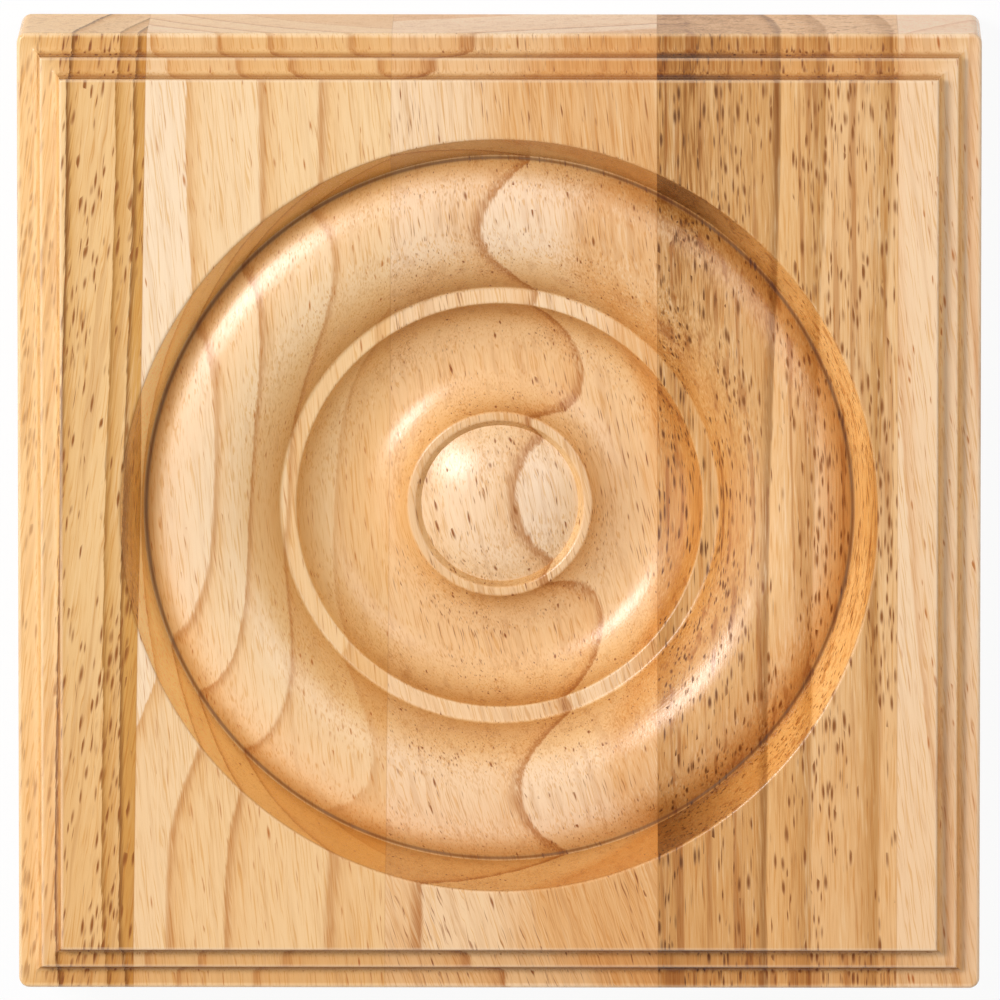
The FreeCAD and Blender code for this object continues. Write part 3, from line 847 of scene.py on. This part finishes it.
def add_surface(tree, wood, shader):
    """A satin sheen, duller in pores and on sawn ends, over the relief of the fibres and of the faint
    rings that the turning tool leaves where it cuts across the grain: sin(2 pi radius / feed)."""
    dull = calc(tree, "MULTIPLY_ADD", wood.thin, THIN_ROUGHNESS, ROUGHNESS)
    dull = calc(tree, "MULTIPLY_ADD", wood.sawn, OPEN_ROUGHNESS, dull)
    dull = calc(tree, "MULTIPLY_ADD", wood.hollow, OPEN_ROUGHNESS, dull)
    feed(tree, shader.inputs["Roughness"], dull)
    shader.inputs["Specular IOR Level"].default_value = SHEEN_LEVEL
    tool = calc(tree, "SINE", calc(tree, "MULTIPLY", wood.radius, 2 * math.pi / TOOL_FEED))
    inside = fall(tree, wood.radius, *TOOL_END)
    tool = product(tree, tool, inside, climb(tree, wood.cross_cut, *TOOL_ACROSS))
    fibres = calc(tree, "MULTIPLY", cloud(tree, wood.place, THIN_MARK, 1.0), FIBRE_RELIEF)
    bump = tree.nodes.new("ShaderNodeBump")
    bump.inputs["Strength"].default_value = RELIEF_STRENGTH
    bump.inputs["Distance"].default_value = RELIEF_DEPTH * MM
    feed(tree, bump.inputs["Height"], calc(tree, "MULTIPLY_ADD", tool, TOOL_RELIEF, fibres))
    feed(tree, shader.inputs["Normal"], bump.outputs["Normal"])


def wood_material():
    """Edge-glued pale hardwood, cut through as a solid: staves with their own rings, pores and tone,
    darker and more golden where the cut crosses the grain, with painted shade, light and sheen on its cut
    shapes."""
    material = bpy.data.materials.new("wood")
    material.use_nodes = True
    tree = material.node_tree
    shader = tree.nodes["Principled BSDF"]
    wood = wood_places(tree)
    add_joints(tree, wood)
    add_fibres(tree, wood)
    add_cuts(tree, wood)
    colour = ring_colours(tree, wood)
    # Each step adds tones: the streaks, pores and end grain of the wood, and painted shade, light and sheen
    # on its cut shapes.
    for finish in (streaked, pored, cut_tones, turned_tones, edge_tones):
        colour = finish(tree, wood, colour)
    feed(tree, shader.inputs["Base Color"], colour)
    add_surface(tree, wood, shader)
    return material


block = bpy.data.objects.new("rosette_block_wood", block_mesh())
bpy.context.collection.objects.link(block)
block.data.materials.append(wood_material())
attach(block, "root")
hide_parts("rosette_block")

# The floor. A wide white studio table under the block, swept up at its far edge into a low white
# backdrop; the camera sees it as nearly white paper that keeps a faint contact shadow.
# Sizes are in metres.

FLOOR_RADIUS = 3.0
FLOOR_HOLE = 0.01
FLOOR_GAP = 0.0002
SWEEP = 0.3
SWEEP_POINTS = 12
BACKDROP_HEIGHT = 0.9
FLOOR_TURN = 3
PAPER = 0.85
PLAIN_WHITE = 0.93


def swept_table():
    """A flat disc, a quarter round and an upright band: one section carried round in a circle."""
    rounding = quarter([FLOOR_RADIUS, SWEEP], SWEEP, -90, 0, SWEEP_POINTS)
    section = np.vstack([[FLOOR_HOLE, 0], rounding, [FLOOR_RADIUS + SWEEP, BACKDROP_HEIGHT]])
    turn = np.radians(np.arange(0, 360, FLOOR_TURN))
    grid = ring_points(section[:, :1], turn, section[:, 1:] + block_low.z - FLOOR_GAP)
    middle = list(range(len(turn)))
    mesh = bpy.data.meshes.new("floor")
    mesh.from_pydata(grid.tolist(), [], ring_faces(len(section), len(turn)) + [middle])
    mesh.shade_smooth()
    mesh.validate()
    return mesh


def plainly_seen(tree):
    """1 for the camera's own rays, mirror rays and rays through glass, 0 for those that only light."""
    path = tree.nodes.new("ShaderNodeLightPath").outputs
    seen = calc(tree, "MAXIMUM", path["Is Camera Ray"], path["Is Glossy Ray"])
    return calc(tree, "MAXIMUM", seen, path["Is Transmission Ray"])


def paper_white():
    """White paper; where it is plainly seen, most of it is even white."""
    material = bpy.data.materials.new("paper_white")
    material.use_nodes = True
    tree = material.node_tree
    tree.nodes.clear()
    matt = tree.nodes.new("ShaderNodeBsdfDiffuse")
    matt.inputs["Color"].default_value = (PAPER, PAPER, PAPER, 1)
    white = tree.nodes.new("ShaderNodeEmission")
    white.inputs["Color"].default_value = (1, 1, 1, 1)
    mix = tree.nodes.new("ShaderNodeMixShader")
    feed(tree, mix.inputs[0], calc(tree, "MULTIPLY", plainly_seen(tree), PLAIN_WHITE))
    feed(tree, mix.inputs[1], matt.outputs[0])
    feed(tree, mix.inputs[2], white.outputs[0])
    output = tree.nodes.new("ShaderNodeOutputMaterial")
    feed(tree, output.inputs["Surface"], mix.outputs[0])
    return material


floor = bpy.data.objects.new("floor", swept_table())
bpy.context.collection.objects.link(floor)
floor.data.materials.append(paper_white())

# The light. A soft box high on the left, a weaker one on the right, a broad panel low on the left
# and an even white surround. Distances and sizes are in metres, power in watts.

LAMP_DISTANCE = 0.9
LAMPS = (
    dict(name="left_soft_box", direction=(-0.464, 0.28, 0.839), size=0.25, power=4.3),
    dict(name="right_soft_box", direction=(0.464, 0.28, 0.839), size=0.4, power=1.3),
    dict(name="left_panel", direction=(-0.85, 0.12, 0.5), size=0.8, power=2.7),
)
SURROUND = 0.30


def soft_box(name, direction, size, power):
    """A square lamp that stands off the block along a direction and faces it."""
    lamp = bpy.data.lights.new(name, "AREA")
    lamp.size = size
    lamp.energy = power
    away = np.asarray(direction) / np.linalg.norm(direction)
    thing = bpy.data.objects.new(name, lamp)
    thing.location = away * LAMP_DISTANCE
    thing.rotation_mode = "QUATERNION"
    thing.rotation_quaternion = Vector(away).to_track_quat("Z", "Y")
    bpy.context.collection.objects.link(thing)


for lamp in LAMPS:
    soft_box(**lamp)

world = bpy.data.worlds.new("studio")
bpy.context.scene.world = world
world.use_nodes = True
background = world.node_tree.nodes["Background"]
background.inputs["Color"].default_value = (1, 1, 1, 1)
background.inputs["Strength"].default_value = SURROUND

# The camera. A long lens nearly square on to the carved face, a little from the block's upper side.
# Distances are in metres, the lens and the sensor in millimetres.

CAMERA_TILT = math.radians(7.36)
CAMERA_SIDE = math.radians(0.43)
CAMERA_DISTANCE = 2.4
CAMERA_FAR = 20
LENS = 816.3
SENSOR = 36
AIM = np.array([0.00003, 0.0003, 0.0111])

camera_data = bpy.data.cameras.new("camera")
camera_data.lens = LENS
camera_data.sensor_width = SENSOR
camera_data.clip_end = CAMERA_FAR
camera = bpy.data.objects.new("camera", camera_data)
backward = np.array([
    math.cos(CAMERA_TILT) * math.sin(CAMERA_SIDE),
    math.sin(CAMERA_TILT),
    math.cos(CAMERA_TILT) * math.cos(CAMERA_SIDE),
])
camera.location = AIM + CAMERA_DISTANCE * backward
camera.rotation_euler = (-CAMERA_TILT, CAMERA_SIDE, 0)
bpy.context.collection.objects.link(camera)
bpy.context.scene.camera = camera
bpy.context.scene.view_settings.view_transform = "Standard"
